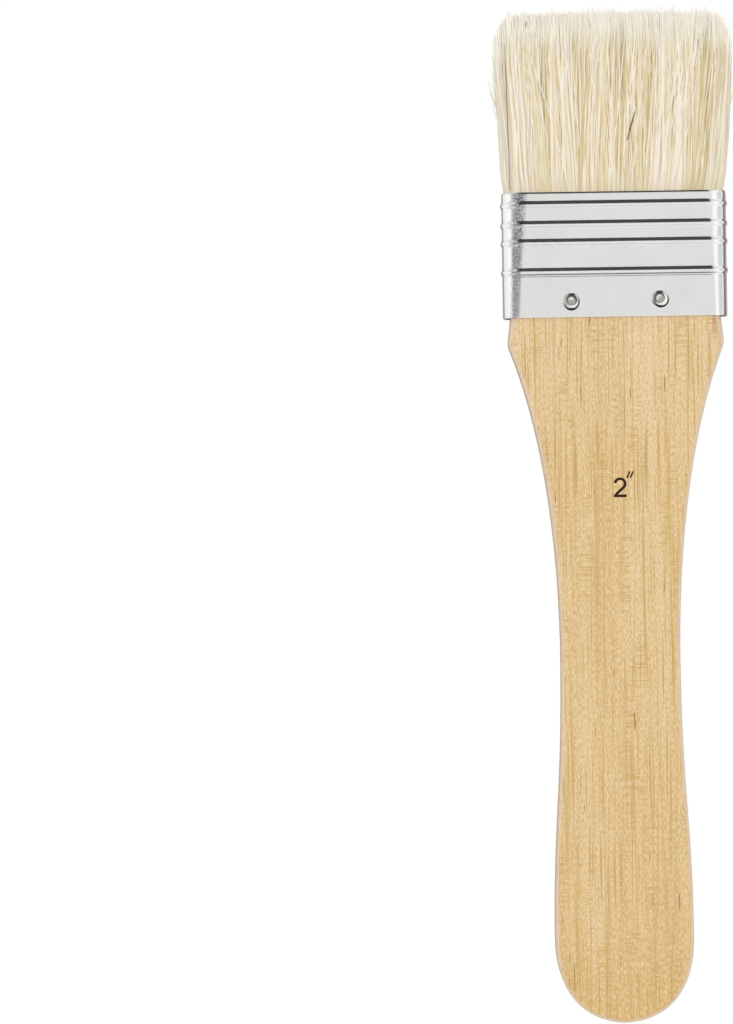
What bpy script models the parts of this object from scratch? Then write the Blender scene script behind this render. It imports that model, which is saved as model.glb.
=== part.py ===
"""A flat two-inch bristle brush, modelled as it is made.

A paddle-shaped wooden handle is pushed into a ferrule wrapped from beaded sheet metal and held there by
four nails. Inside the ferrule, a block of resin holds two halves of bristle, one on each side of a
wooden spacer plug.

The brush lies on its back: X runs across it, Y along it towards the bristle tips, and Z up out of its
front face. The origin is below the middle of the brush, on the surface that it lies on.
"""
import math
import random

import bmesh
import bpy
from mathutils import Matrix, Vector

MM = 0.001

# Driving dimensions, in metres
FERRULE_WIDTH = 51.0 * MM
FERRULE_DEPTH = 9.4 * MM
FERRULE_LENGTH = 28.5 * MM
FERRULE_CORNER = 3.9 * MM
SHEET = 0.4 * MM
HANDLE_OUT = 160.2 * MM
HANDLE_DEPTH = 8.0 * MM
HANDLE_EDGE = 1.3 * MM
TANG_LENGTH = 12.0 * MM
BRISTLE_OUT = 42.5 * MM
BRISTLE_WIDTH = 55.8 * MM
BRISTLE_DEPTH = 11.5 * MM
FIT_GAP = 0.3 * MM

# Beads pressed into the ferrule: distance of each crest from the mouth
BEAD_CRESTS = (2.9 * MM, 7.4 * MM, 11.5 * MM, 18.1 * MM)
BEAD_WIDTH = 2.0 * MM
BEAD_HEIGHT = 0.32 * MM
BEAD_STEPS = 4
CORNER_STEPS = 5

# Lap seam down the middle of the ferrule's rear face
LAP_LENGTH = 6.0 * MM
LAP_STEP = 0.5 * MM
LAP_JOGGLE = 1.2 * MM

# Handle outline below the ferrule: half width and distance from the ferrule's lower edge
TANG_HALF = 23.9 * MM
SHOULDER = (24.4 * MM, 4.6 * MM)
SHOULDER_FOOT = (24.25 * MM, 6.9 * MM)
WAIST = (13.55 * MM, 77.0 * MM)
BULB = (15.7 * MM, 141.0 * MM)
SHOULDER_ROUND = 1.0 * MM
SHOULDER_SLOPE = 0.394
SHOULDER_REACH = 24.3 * MM
WAIST_REACH_UP = 14.3 * MM
WAIST_REACH_DOWN = 31.0 * MM
BULB_REACH_UP = 26.4 * MM
BULB_REACH_DOWN = 18.0 * MM
END_REACH = 3.0 * MM
OUTLINE_STEPS = 10
EDGE_STEPS = 3

# Nails: name, place across, height above the ferrule's lower edge, and side (front 1, rear -1)
NAILS = (
    ("front_nail_left", -10.1 * MM, 3.4 * MM, 1),
    ("front_nail_right", 10.2 * MM, 3.8 * MM, 1),
    ("rear_nail_left", -14.2 * MM, 3.6 * MM, -1),
    ("rear_nail_right", 14.2 * MM, 3.6 * MM, -1),
)
NAIL_HEAD_RADIUS = 1.85 * MM
NAIL_CROWN_RADIUS = 1.05 * MM
NAIL_HEAD_HEIGHT = 0.8 * MM
NAIL_RIM = 0.2 * MM
NAIL_SHANK_RADIUS = 0.75 * MM
NAIL_LENGTH = 5.6 * MM
NAIL_POINT = 1.5 * MM
NAIL_STEPS = 16
NAIL_DOME_STEPS = 3
NAIL_SEAT = 0.05 * MM
NAIL_HOLE_GAP = 0.15 * MM

# What the ferrule holds: heights above its lower edge
RESIN_FOOT = TANG_LENGTH + FIT_GAP
RESIN_TOP = 19.0 * MM
PLUG_FOOT = 15.0 * MM
PLUG_TOP = 25.0 * MM
PLUG_WIDTH = 45.0 * MM
PLUG_DEPTH = 1.6 * MM
SLICE_TOP = 20.8 * MM

# Bristle halves: half sections at the root, at the belly and at the tips
ROOT_HALF_WIDTH = 23.6 * MM
ROOT_OUTER = 3.75 * MM
ROOT_INNER = PLUG_DEPTH / 2 + FIT_GAP
ROOT_WALL_HALF = 23.9 * MM
ROOT_CORNER = 3.2 * MM
BELLY_HEIGHT = 31.0 * MM
BELLY_INNER = 0.6 * MM
TIP_SPREAD = 1.09
TIP_OUTER = 4.9 * MM
TIP_INNER = 0.3 * MM
TIP_CROWN = 1.3 * MM
TIP_CORNER_DROP = 5.0 * MM
TIP_UNEVENNESS = 0.9 * MM
STRAND_COLUMNS = 48
STRAND_ROWS = 4
STRAND_INSET = 0.09 * MM
STRAND_TAPER = 0.85
BRISTLE_SEED = 7

# Places along the brush, and the height of its middle plane
HANDLE_END_Y = -(HANDLE_OUT + FERRULE_LENGTH + BRISTLE_OUT) / 2
FERRULE_LOW_Y = HANDLE_END_Y + HANDLE_OUT
MOUTH_Y = FERRULE_LOW_Y + FERRULE_LENGTH
TIP_Y = MOUTH_Y + BRISTLE_OUT
MIDDLE_Z = BRISTLE_DEPTH / 2

# Modelling tolerances
WELD = 0.005 * MM
CUT_PAST = 1.0 * MM
FLAT_ANGLE = math.radians(0.1)
SHARP_ANGLE = math.radians(35.0)
BEVEL_ANGLE = math.radians(50.0)
QUARTER_TURN = math.radians(90.0)

# Stands up a section drawn in X and Y: its Y points to the front, and its height runs along the brush
UP_TO_ALONG = Matrix.Rotation(-QUARTER_TURN, 4, "X") @ Matrix.Diagonal((1.0, -1.0, 1.0, 1.0))


def clear_scene():
    """Remove every object of the open scene."""
    for item in list(bpy.data.objects):
        bpy.data.objects.remove(item, do_unlink=True)


def add_collection(name):
    """A new collection under the scene's own."""
    collection = bpy.data.collections.new(name)
    bpy.context.scene.collection.children.link(collection)
    return collection


def add_material(name, colour, roughness, metallic=0.0):
    """A plain Principled material."""
    material = bpy.data.materials.new(name)
    material.use_nodes = True
    shader = material.node_tree.nodes["Principled BSDF"]
    shader.inputs["Base Color"].default_value = (*colour, 1.0)
    shader.inputs["Roughness"].default_value = roughness
    shader.inputs["Metallic"].default_value = metallic
    return material


class Bench:
    """The collections and the empty that every sub-part is placed in."""

    def __init__(self):
        self.parts = add_collection("flat_brush")
        self.cutters = add_collection("flat_brush_cutters")
        self.middle = bpy.data.objects.new("brush_middle", None)
        self.middle.location.z = MIDDLE_Z
        self.parts.objects.link(self.middle)

    def add_part(self, name, data, material):
        """A sub-part, placed relative to the middle plane of the brush."""
        part = bpy.data.objects.new(name, data)
        data.materials.clear()
        data.materials.append(material)
        self.parts.objects.link(part)
        part.parent = self.middle
        return part

    def add_cutter(self, name, data):
        """A hidden object that a Boolean subtracts."""
        cutter = bpy.data.objects.new(name, data)
        cutter.hide_render = True
        cutter.display_type = "WIRE"
        self.cutters.objects.link(cutter)
        cutter.parent = self.middle
        return cutter


def mesh_from(name, shape):
    """A mesh datablock from a bmesh, with its faces pointing out."""
    bmesh.ops.recalc_face_normals(shape, faces=shape.faces)
    mesh = bpy.data.meshes.new(name)
    shape.to_mesh(mesh)
    shape.free()
    return mesh


def box_mesh(name, low, high):
    """A box between two corners."""
    low = Vector(low)
    high = Vector(high)
    place = Matrix.Translation((low + high) / 2) @ Matrix.Diagonal((*(high - low), 1.0))
    shape = bmesh.new()
    bmesh.ops.create_cube(shape, size=1.0, matrix=place)
    return mesh_from(name, shape)


def smooth(mesh):
    """Smooth shading, with the edges above an angle left sharp."""
    mesh.shade_smooth()
    mesh.set_sharp_from_angle(angle=SHARP_ANGLE)


def mesh_of_curve(name, curve, turn=None):
    """The mesh that a curve makes, with its loose caps welded on and the curve removed."""
    maker = bpy.data.objects.new(name + "_curve", curve)
    bpy.context.scene.collection.objects.link(maker)
    bpy.context.view_layer.update()
    graph = bpy.context.evaluated_depsgraph_get()
    mesh = bpy.data.meshes.new_from_object(maker.evaluated_get(graph))
    shape = bmesh.new()
    shape.from_mesh(mesh)
    bmesh.ops.remove_doubles(shape, verts=shape.verts, dist=WELD)
    if turn is not None:
        bmesh.ops.transform(shape, matrix=turn, verts=shape.verts)
    bpy.data.objects.remove(maker, do_unlink=True)
    bpy.data.meshes.remove(mesh)
    return mesh_from(name, shape)


def cut(part, cutter):
    """Subtract a cutter from a sub-part."""
    boolean = part.modifiers.new("cut_" + cutter.name, "BOOLEAN")
    boolean.operation = "DIFFERENCE"
    boolean.solver = "EXACT"
    boolean.object = cutter


def poly_spline(curve, points, cyclic):
    """Add a spline of straight runs to a curve."""
    spline = curve.splines.new("POLY")
    spline.points.add(len(points) - 1)
    for spot, point in zip(spline.points, points):
        spot.co = (point[0], point[1], 0.0, 1.0)
    spline.use_cyclic_u = cyclic


def corner_arc(centre, radius, start_degrees):
    """Points of a quarter turn, counterclockwise."""
    points = []
    for step in range(CORNER_STEPS + 1):
        angle = math.radians(start_degrees) + QUARTER_TURN * step / CORNER_STEPS
        points.append((centre[0] + radius * math.cos(angle), centre[1] + radius * math.sin(angle)))
    return points


def rounded_corners(half_width, half_depth, radius):
    """A rounded rectangle's corners, counterclockwise from its lower right one."""
    x = half_width - radius
    y = half_depth - radius
    points = []
    for centre, start in (((x, -y), -90), ((x, y), 0), ((-x, y), 90), ((-x, -y), 180)):
        points += corner_arc(centre, radius, start)
    return points


def handle_anchors():
    """The handle outline's right side, from tang to end: point, handle before it, handle after it."""
    shoulder_foot = Vector((SHOULDER_FOOT[0], -SHOULDER_FOOT[1]))
    slope = Vector((-SHOULDER_SLOPE, -1.0))
    shoulder = Vector((SHOULDER[0], -SHOULDER[1]))
    waist = Vector((WAIST[0], -WAIST[1]))
    bulb = Vector((BULB[0], -BULB[1]))
    tang = Vector((TANG_HALF, TANG_LENGTH))
    tang_foot = Vector((TANG_HALF, 0.0))
    end = Vector((0.0, -HANDLE_OUT))
    down = Vector((0.0, -1.0))
    return [
        (tang, tang, tang),
        (tang_foot, tang_foot, tang_foot),
        (shoulder, shoulder, shoulder + down * SHOULDER_ROUND),
        (shoulder_foot, shoulder_foot - slope * SHOULDER_ROUND, shoulder_foot + slope * SHOULDER_REACH),
        (waist, waist - down * WAIST_REACH_UP, waist + down * WAIST_REACH_DOWN),
        (bulb, bulb - down * BULB_REACH_UP, bulb + down * BULB_REACH_DOWN),
        (end, end + Vector((END_REACH, 0.0)), end - Vector((END_REACH, 0.0))),
    ]


def handle_outline():
    """The whole outline: the right side down to the end, then its mirror image back up."""
    right = handle_anchors()
    left = []
    for point, before, after in reversed(right[:-1]):
        mirrored = [Vector((-spot.x, spot.y)) for spot in (point, after, before)]
        left.append(tuple(mirrored))
    return right + left


def build_handle(bench, material):
    """A flat plank with a shaped outline and rounded edges, drilled for the nails."""
    curve = bpy.data.curves.new("handle", "CURVE")
    curve.dimensions = "2D"
    curve.fill_mode = "BOTH"
    curve.resolution_u = OUTLINE_STEPS
    curve.extrude = HANDLE_DEPTH / 2
    outline = handle_outline()
    spline = curve.splines.new("BEZIER")
    spline.bezier_points.add(len(outline) - 1)
    spline.use_cyclic_u = True
    for anchor, (point, before, after) in zip(spline.bezier_points, outline):
        anchor.handle_left_type = "VECTOR" if before == point else "FREE"
        anchor.handle_right_type = "VECTOR" if after == point else "FREE"
        anchor.co = (*point, 0.0)
        anchor.handle_left = (*before, 0.0)
        anchor.handle_right = (*after, 0.0)
    mesh = mesh_of_curve("handle", curve, Matrix.Translation((0.0, FERRULE_LOW_Y, 0.0)))
    merge_flat_faces(mesh, split_y=FERRULE_LOW_Y - FIT_GAP)
    handle = bench.add_part("handle", mesh, material)
    bevel = handle.modifiers.new("rounded_edges", "BEVEL")
    bevel.width = HANDLE_EDGE
    bevel.segments = EDGE_STEPS
    bevel.limit_method = "ANGLE"
    bevel.angle_limit = BEVEL_ANGLE
    smooth(mesh)
    return handle


def merge_flat_faces(mesh, split_y=None):
    """Merge the triangles of each flat face into one face, and split the faces across the brush at a place."""
    shape = bmesh.new()
    shape.from_mesh(mesh)
    bmesh.ops.dissolve_limit(shape, angle_limit=FLAT_ANGLE, verts=[], edges=shape.edges)
    if split_y is not None:
        everything = shape.verts[:] + shape.edges[:] + shape.faces[:]
        bmesh.ops.bisect_plane(shape, geom=everything, plane_co=(0.0, split_y, 0.0), plane_no=(0.0, 1.0, 0.0))
    shape.to_mesh(mesh)
    shape.free()


def bead_profile():
    """The sheet's middle line along the ferrule: height above the lower edge, and how far it stands out."""
    line = [(0.0, 0.0)]
    for crest in reversed(BEAD_CRESTS):
        centre = FERRULE_LENGTH - crest
        for step in range(BEAD_STEPS + 1):
            along = step / BEAD_STEPS - 0.5
            out = BEAD_HEIGHT * 0.5 * (1.0 + math.cos(2.0 * math.pi * along))
            line.append((centre + BEAD_WIDTH * along, out))
    line.append((FERRULE_LENGTH, 0.0))
    return line


def ferrule_path():
    """The wrapped strip seen along the brush: from under the lap, round the corners, and over itself."""
    half_depth = (FERRULE_DEPTH - SHEET) / 2
    corners = rounded_corners((FERRULE_WIDTH - SHEET) / 2, half_depth, FERRULE_CORNER - SHEET / 2)
    half_lap = LAP_LENGTH / 2
    over = half_depth + LAP_STEP
    tail = [(-half_lap - LAP_JOGGLE, -half_depth), (-half_lap, -over), (half_lap, -over)]
    return [(-half_lap, -half_depth)] + corners + tail


def build_ferrule(bench, material):
    """One strip of sheet with four raised beads, wrapped round and lapped at the back."""
    profile = bpy.data.curves.new("ferrule_profile", "CURVE")
    profile.dimensions = "2D"
    line = bead_profile()
    outer = [(out + SHEET / 2, height) for height, out in line]
    inner = [(out - SHEET / 2, height) for height, out in reversed(line)]
    poly_spline(profile, outer + inner, cyclic=True)
    profile_object = bpy.data.objects.new("ferrule_profile", profile)
    path = bpy.data.curves.new("ferrule", "CURVE")
    path.dimensions = "2D"
    path.fill_mode = "NONE"
    path.bevel_mode = "OBJECT"
    path.bevel_object = profile_object
    path.use_fill_caps = True
    poly_spline(path, ferrule_path(), cyclic=False)
    mesh = mesh_of_curve("ferrule", path, Matrix.Translation((0.0, FERRULE_LOW_Y, 0.0)) @ UP_TO_ALONG)
    bpy.data.objects.remove(profile_object, do_unlink=True)
    ferrule = bench.add_part("ferrule", mesh, material)
    smooth(mesh)
    return ferrule


def nail_profile():
    """A nail's outer side from the crown down to the point: a domed head with a flat crown, and a shank."""
    points = [(0.0, NAIL_HEAD_HEIGHT), (NAIL_CROWN_RADIUS, NAIL_HEAD_HEIGHT)]
    run = NAIL_HEAD_RADIUS - NAIL_CROWN_RADIUS
    fall = NAIL_HEAD_HEIGHT - NAIL_RIM
    for step in range(1, NAIL_DOME_STEPS + 1):
        angle = QUARTER_TURN * (1.0 - step / NAIL_DOME_STEPS)
        points.append((NAIL_CROWN_RADIUS + run * math.cos(angle), NAIL_RIM + fall * math.sin(angle)))
    points.append((NAIL_HEAD_RADIUS, 0.0))
    points.append((NAIL_SHANK_RADIUS, 0.0))
    points.append((NAIL_SHANK_RADIUS, NAIL_POINT - NAIL_LENGTH))
    points.append((0.0, -NAIL_LENGTH))
    return points


def build_nail(bench, name, x, height, side, material):
    """One nail, turned about its own axis, with its head against the ferrule."""
    shape = bmesh.new()
    rim = [shape.verts.new((radius, 0.0, z)) for radius, z in nail_profile()]
    for upper, lower in zip(rim, rim[1:]):
        shape.edges.new((upper, lower))
    mesh = bpy.data.meshes.new(name)
    shape.to_mesh(mesh)
    shape.free()
    nail = bench.add_part(name, mesh, material)
    nail.location = (x, FERRULE_LOW_Y + height, side * (FERRULE_DEPTH / 2 + NAIL_SEAT))
    nail.rotation_euler.y = 0.0 if side > 0 else math.pi
    screw = nail.modifiers.new("turned", "SCREW")
    screw.axis = "Z"
    screw.steps = NAIL_STEPS
    screw.render_steps = NAIL_STEPS
    screw.use_merge_vertices = True
    screw.merge_threshold = WELD
    screw.use_smooth_shade = True
    return nail


def drill_for_nail(bench, name, x, height, side, pieces):
    """Cut a nail's hole through the ferrule's wall and into the tang."""
    radius = NAIL_SHANK_RADIUS + NAIL_HOLE_GAP
    top = FERRULE_DEPTH / 2 + CUT_PAST
    bottom = FERRULE_DEPTH / 2 - NAIL_LENGTH - FIT_GAP
    shape = bmesh.new()
    bmesh.ops.create_cone(
        shape,
        cap_ends=True,
        segments=NAIL_STEPS,
        radius1=radius,
        radius2=radius,
        depth=top - bottom,
    )
    cutter = bench.add_cutter("hole_" + name, mesh_from("hole_" + name, shape))
    cutter.location = (x, FERRULE_LOW_Y + height, side * (top + bottom) / 2)
    for piece in pieces:
        cut(piece, cutter)


def build_plug(bench, material):
    """The wooden strip that keeps the two bristle halves apart at the root."""
    low = (-PLUG_WIDTH / 2, FERRULE_LOW_Y + PLUG_FOOT + FIT_GAP, -PLUG_DEPTH / 2)
    high = (PLUG_WIDTH / 2, FERRULE_LOW_Y + PLUG_TOP, PLUG_DEPTH / 2)
    return bench.add_part("spacer_plug", box_mesh("spacer_plug", low, high), material)


def build_resin(bench, material):
    """The block of set resin above the tang, with a slot that the spacer plug stands in."""
    wall = SHEET + FIT_GAP
    outline = bpy.data.curves.new("resin_set", "CURVE")
    outline.dimensions = "2D"
    outline.fill_mode = "BOTH"
    outline.extrude = (RESIN_TOP - RESIN_FOOT) / 2
    corners = rounded_corners(FERRULE_WIDTH / 2 - wall, FERRULE_DEPTH / 2 - wall, FERRULE_CORNER - wall)
    poly_spline(outline, corners, cyclic=True)
    centre = Matrix.Translation((0.0, FERRULE_LOW_Y + (RESIN_TOP + RESIN_FOOT) / 2, 0.0))
    mesh = mesh_of_curve("resin_set", outline, centre @ UP_TO_ALONG)
    merge_flat_faces(mesh)
    resin = bench.add_part("resin_set", mesh, material)
    half_slot = PLUG_DEPTH / 2 + FIT_GAP
    low = (-PLUG_WIDTH / 2 - FIT_GAP, FERRULE_LOW_Y + PLUG_FOOT, -half_slot)
    high = (PLUG_WIDTH / 2 + FIT_GAP, FERRULE_LOW_Y + RESIN_TOP + CUT_PAST, half_slot)
    cut(resin, bench.add_cutter("plug_slot", box_mesh("plug_slot", low, high)))
    return resin


def inside_root_wall(x, depth):
    """Whether a point of the bristle root is inside the ferrule's round corners."""
    past = max(0.0, depth - (ROOT_OUTER - ROOT_CORNER))
    half_width = ROOT_WALL_HALF - ROOT_CORNER + math.sqrt(max(0.0, ROOT_CORNER**2 - past**2))
    return abs(x) <= half_width


def blend(low, high, share):
    """The value a share of the way from low to high."""
    return low + (high - low) * share


def fanned(root, y, spread, inner, outer):
    """Where a point of the bristle root comes to at a height, as the bristle fans out evenly."""
    side = math.copysign(1.0, root.z)
    share = (abs(root.z) - ROOT_INNER) / (ROOT_OUTER - ROOT_INNER)
    return Vector((root.x * spread, y, side * blend(inner, outer, share)))


def tip_y(root, draw):
    """The height of a strand's tip: lower towards the sides, well down at the corners, and uneven."""
    across = root.x / ROOT_HALF_WIDTH
    drop = TIP_CROWN * across**2 + TIP_CORNER_DROP * across**12
    return TIP_Y - drop - draw.uniform(0.0, TIP_UNEVENNESS)


def bristle_root_grid(side):
    """A grid of root cells in the plane of the slice's top, without those outside the round corners."""
    shape = bmesh.new()
    bmesh.ops.create_grid(shape, x_segments=STRAND_COLUMNS, y_segments=STRAND_ROWS, size=1.0)
    for vert in shape.verts:
        depth = blend(ROOT_INNER, ROOT_OUTER, (vert.co.y + 1.0) / 2)
        vert.co = (vert.co.x * ROOT_HALF_WIDTH, FERRULE_LOW_Y + SLICE_TOP, side * depth)
    outside = []
    for face in shape.faces:
        if not all(inside_root_wall(vert.co.x, abs(vert.co.z)) for vert in face.verts):
            outside.append(face)
    bmesh.ops.delete(shape, geom=outside, context="FACES")
    return shape


def build_bristles(bench, name, side, material):
    """Half of the bristle: tapering four-sided strands on a slice of the resin that holds them."""
    belly_y = MOUTH_Y + BELLY_HEIGHT
    belly_spread = BRISTLE_WIDTH / 2 / ROOT_HALF_WIDTH
    shape = bristle_root_grid(side)
    roots = list(shape.faces)
    base = bmesh.ops.extrude_face_region(shape, geom=roots, use_keep_orig=True)["geom"]
    for item in base:
        if isinstance(item, bmesh.types.BMVert):
            item.co.y = FERRULE_LOW_Y + RESIN_TOP + FIT_GAP
    bmesh.ops.dissolve_faces(shape, faces=[item for item in base if isinstance(item, bmesh.types.BMFace)])
    bmesh.ops.inset_individual(shape, faces=roots, thickness=STRAND_INSET)
    bellies = bmesh.ops.extrude_discrete_faces(shape, faces=roots)["faces"]
    draw = random.Random(BRISTLE_SEED + side)
    tips = []
    for face in bellies:
        root = face.calc_center_median()
        belly = fanned(root, belly_y, belly_spread, BELLY_INNER, BRISTLE_DEPTH / 2)
        tips.append(fanned(root, tip_y(root, draw), TIP_SPREAD, TIP_INNER, TIP_OUTER))
        for vert in face.verts:
            corner = fanned(vert.co, belly_y, belly_spread, BELLY_INNER, BRISTLE_DEPTH / 2)
            vert.co = belly.lerp(corner, STRAND_TAPER)
    for vert, tip in zip(bmesh.ops.poke(shape, faces=bellies)["verts"], tips):
        vert.co = tip
    return bench.add_part(name, mesh_from(name, shape), material)


def main():
    """Build the brush."""
    clear_scene()
    bench = Bench()
    wood = add_material("wood", (0.66, 0.46, 0.24), 0.45)
    tinplate = add_material("tinplate", (0.72, 0.71, 0.70), 0.18, 1.0)
    nail_steel = add_material("nail_steel", (0.74, 0.73, 0.72), 0.20, 1.0)
    bristle = add_material("bristle", (0.74, 0.66, 0.46), 0.55)
    resin = add_material("resin", (0.30, 0.20, 0.09), 0.40)
    handle = build_handle(bench, wood)
    ferrule = build_ferrule(bench, tinplate)
    for name, x, height, side in NAILS:
        build_nail(bench, name, x, height, side, nail_steel)
        drill_for_nail(bench, name, x, height, side, (handle, ferrule))
    build_plug(bench, wood)
    build_resin(bench, resin)
    build_bristles(bench, "bristles_front", 1, bristle)
    build_bristles(bench, "bristles_rear", -1, bristle)


main()
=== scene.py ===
"""The looks of a flat two-inch bristle brush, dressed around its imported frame.

The brush lies on its back: X runs across it, Y along it towards the bristle tips, and Z up out of its
front face. The camera looks straight down on it, as in the photograph.
"""
import math

import bmesh
import bpy
import numpy as np
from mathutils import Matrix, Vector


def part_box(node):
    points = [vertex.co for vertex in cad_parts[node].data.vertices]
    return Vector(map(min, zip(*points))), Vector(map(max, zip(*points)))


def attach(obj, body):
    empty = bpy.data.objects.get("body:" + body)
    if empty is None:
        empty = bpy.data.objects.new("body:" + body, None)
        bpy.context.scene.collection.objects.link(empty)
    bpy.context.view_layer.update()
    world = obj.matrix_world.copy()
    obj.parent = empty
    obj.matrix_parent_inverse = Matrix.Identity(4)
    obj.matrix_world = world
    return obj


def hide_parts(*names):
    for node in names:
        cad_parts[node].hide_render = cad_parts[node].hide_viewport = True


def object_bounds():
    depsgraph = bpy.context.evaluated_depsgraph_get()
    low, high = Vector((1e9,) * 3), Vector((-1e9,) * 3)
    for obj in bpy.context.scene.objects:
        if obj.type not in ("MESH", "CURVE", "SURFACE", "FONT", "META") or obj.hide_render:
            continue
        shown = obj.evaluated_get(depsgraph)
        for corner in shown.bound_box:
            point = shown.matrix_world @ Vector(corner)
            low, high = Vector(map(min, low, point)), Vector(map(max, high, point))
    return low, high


MM = 0.001
QUARTER_TURN = math.radians(90.0)
BODY = "root"
WELD = 1e-7
SHARP_ANGLE = math.radians(40.0)

# The photograph's frame: its size and the brush's place in it in pixels, and its scale
PHOTO_WIDTH = 733
PHOTO_HEIGHT = 1024
AXIS_COLUMN = 617.9
FRAME_HEIGHT = 233.1 * MM
FRAME_CENTRE_Y = 1.2 * MM
CAMERA_DISTANCE = 1000.0 * MM
BRUSH_LEAN = math.radians(0.85)
SENSOR = 36.0
CLIP_END = 20.0

# Handle outline below the ferrule: half width and distance from the ferrule's lower edge
TANG_HALF = 23.9 * MM
SHOULDER = (24.4 * MM, 4.6 * MM)
SHOULDER_FOOT = (24.25 * MM, 6.9 * MM)
WAIST = (13.55 * MM, 77.0 * MM)
BULB = (15.7 * MM, 141.0 * MM)
SHOULDER_ROUND = 1.0 * MM
SHOULDER_SLOPE = 0.394
SHOULDER_REACH = 24.3 * MM
WAIST_REACH_UP = 14.3 * MM
WAIST_REACH_DOWN = 31.0 * MM
BULB_REACH_UP = 26.4 * MM
BULB_REACH_DOWN = 18.0 * MM
END_REACH = 3.0 * MM
HANDLE_EDGE = 1.4 * MM
TANG_EDGE = 2.6 * MM
OUTLINE_PITCH = 0.9 * MM
EDGE_STEPS = 7
FACE_COLUMNS = 10
HANDLE_WELD = 1e-6

# Ferrule: a beaded strip wrapped round and lapped at the back
FERRULE_WIDTH = 51.0 * MM
FERRULE_DEPTH = 9.4 * MM
CORNER_AT_MOUTH = 5.6 * MM
CORNER_AT_FOOT = 4.0 * MM
CORNER_DEEP = 3.9 * MM
SHEET = 0.4 * MM
BEAD_CRESTS = (2.9 * MM, 7.4 * MM, 11.5 * MM, 18.1 * MM)
BEAD_WIDTH = 2.0 * MM
BEAD_HEIGHT = 0.32 * MM
GROOVE_OFFSET = 0.9 * MM
GROOVE_WIDTH = 0.55 * MM
GROOVE_DEPTHS = (0.014 * MM, 0.014 * MM, 0.018 * MM, 0.075 * MM)
LAP_LENGTH = 6.0 * MM
LAP_STEP = 0.5 * MM
LAP_JOGGLE = 1.2 * MM
CORNER_STEPS = 14
FACE_STEPS = 64
SIDE_STEPS = 3
LAP_STEPS = 5
SHEET_PITCH = 0.6 * MM
BEAD_PITCH = 0.14 * MM
RIM_STEPS = 4
MOUTH_TURN = 0.6 * MM
MOUTH_TURN_IN = 0.15 * MM
DENT_DEPTH = 0.07 * MM
DENT_RADIUS = 2.3 * MM

# Nails: a domed head round a flat crown that the hammer knocked aside, on a pointed shank
NAIL_CROWN_SHIFTS = {
    "front_nail_left": (0.05 * MM, 0.5 * MM),
    "front_nail_right": (-0.4 * MM, 0.36 * MM),
    "rear_nail_left": (0.2 * MM, -0.3 * MM),
    "rear_nail_right": (-0.25 * MM, 0.2 * MM),
}
NAIL_HEAD_RADIUS = 1.85 * MM
NAIL_CROWN_RADIUS = 0.95 * MM
NAIL_LIP_RADIUS = 1.2 * MM
NAIL_HEAD_HEIGHT = 0.8 * MM
NAIL_CROWN_SINK = 0.27 * MM
NAIL_DOME_LOW = math.radians(8.0)
NAIL_DOME_STEEP = math.radians(50.0)
NAIL_DOME_STEPS = 12
NAIL_SHANK_RADIUS = 0.75 * MM
NAIL_LENGTH = 5.6 * MM
NAIL_POINT = 1.5 * MM
NAIL_SIDES = 48

# Hair: its thickness, the levels it is drawn at, and the bundle's sections at the mouth, belly and tips
HAIR_PITCH = 0.225 * MM
HAIR_RADIUS = 0.175 * MM
RADIUS_VARIES = (0.8, 1.2)
HAIR_TAPER = 0.95
HAIR_SIDES = 4
HAIR_LEVELS = (0.0, 0.12, 0.4, 0.72, 1.0)
MOUTH_HALF_WIDTH = 24.85 * MM
MOUTH_HALF_DEPTH = 4.1 * MM
MOUTH_CORNER = 3.3 * MM
MOUTH_INNER = 0.15 * MM
ROOT_INNER = 1.1 * MM
ROOT_OUTER = 3.7 * MM
ROOT_NARROWER = 0.95
ROOT_SUNK = 0.5 * MM
MOUTH_BULGE = 0.022
MOUTH_BULGE_HEIGHT = 1.5 * MM
BELLY_HEIGHT = 31.0 * MM
BELLY_SPREAD = 0.09
BELLY_SWELL = 0.32
TIP_DRAW = 0.02
TIP_THIN = 0.14
TIP_CROWN = 0.5 * MM
TIP_CORNER_DROP = 7.2 * MM
TIP_CORNER_CURVE = 22
TIP_ACROSS_MOST = 1.03
TIP_BODY = 1.3 * MM
TIP_SHARE = 0.45
TIP_SPREAD = 1.1
HAIR_LIMIT_X = 28.1 * MM
HAIR_LIMIT_Z = 5.65 * MM
HAIR_SEED = 11

# Locks that the hairs gather in, and how far locks and single hairs stray by their tips
LOCK_PITCH = 0.6 * MM
LOCK_GATHER = 0.3
DEPTH_GATHER = 0.5
LOCK_LEAN = 1.2 * MM
OUTER_LOCK_LEAN = 2.8 * MM
HAIR_LEAN = 0.9 * MM
LEAN_CURVE = 1.2
HAIR_BOW = 0.3 * MM
STRAY_SHARE = 0.1
STRAY_LEAN = 3.5 * MM
SHORT_SHARE = 0.3
SHORT_BY = 5.0 * MM
TIP_RAGGED = 0.6 * MM
LOCK_RAGGED = 0.5 * MM
LONG_SHARE = 0.02

# The hair's sides: how they are drawn in at the tips, apart from loose hairs, and at half height on the left
EDGE_CURVE = 6
EDGE_PULL = 1.1 * MM
PULL_VARIES = (0.6, 1.4)
LOOSE_SHARE = 0.04
LEFT_SLACK = 0.9 * MM

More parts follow.
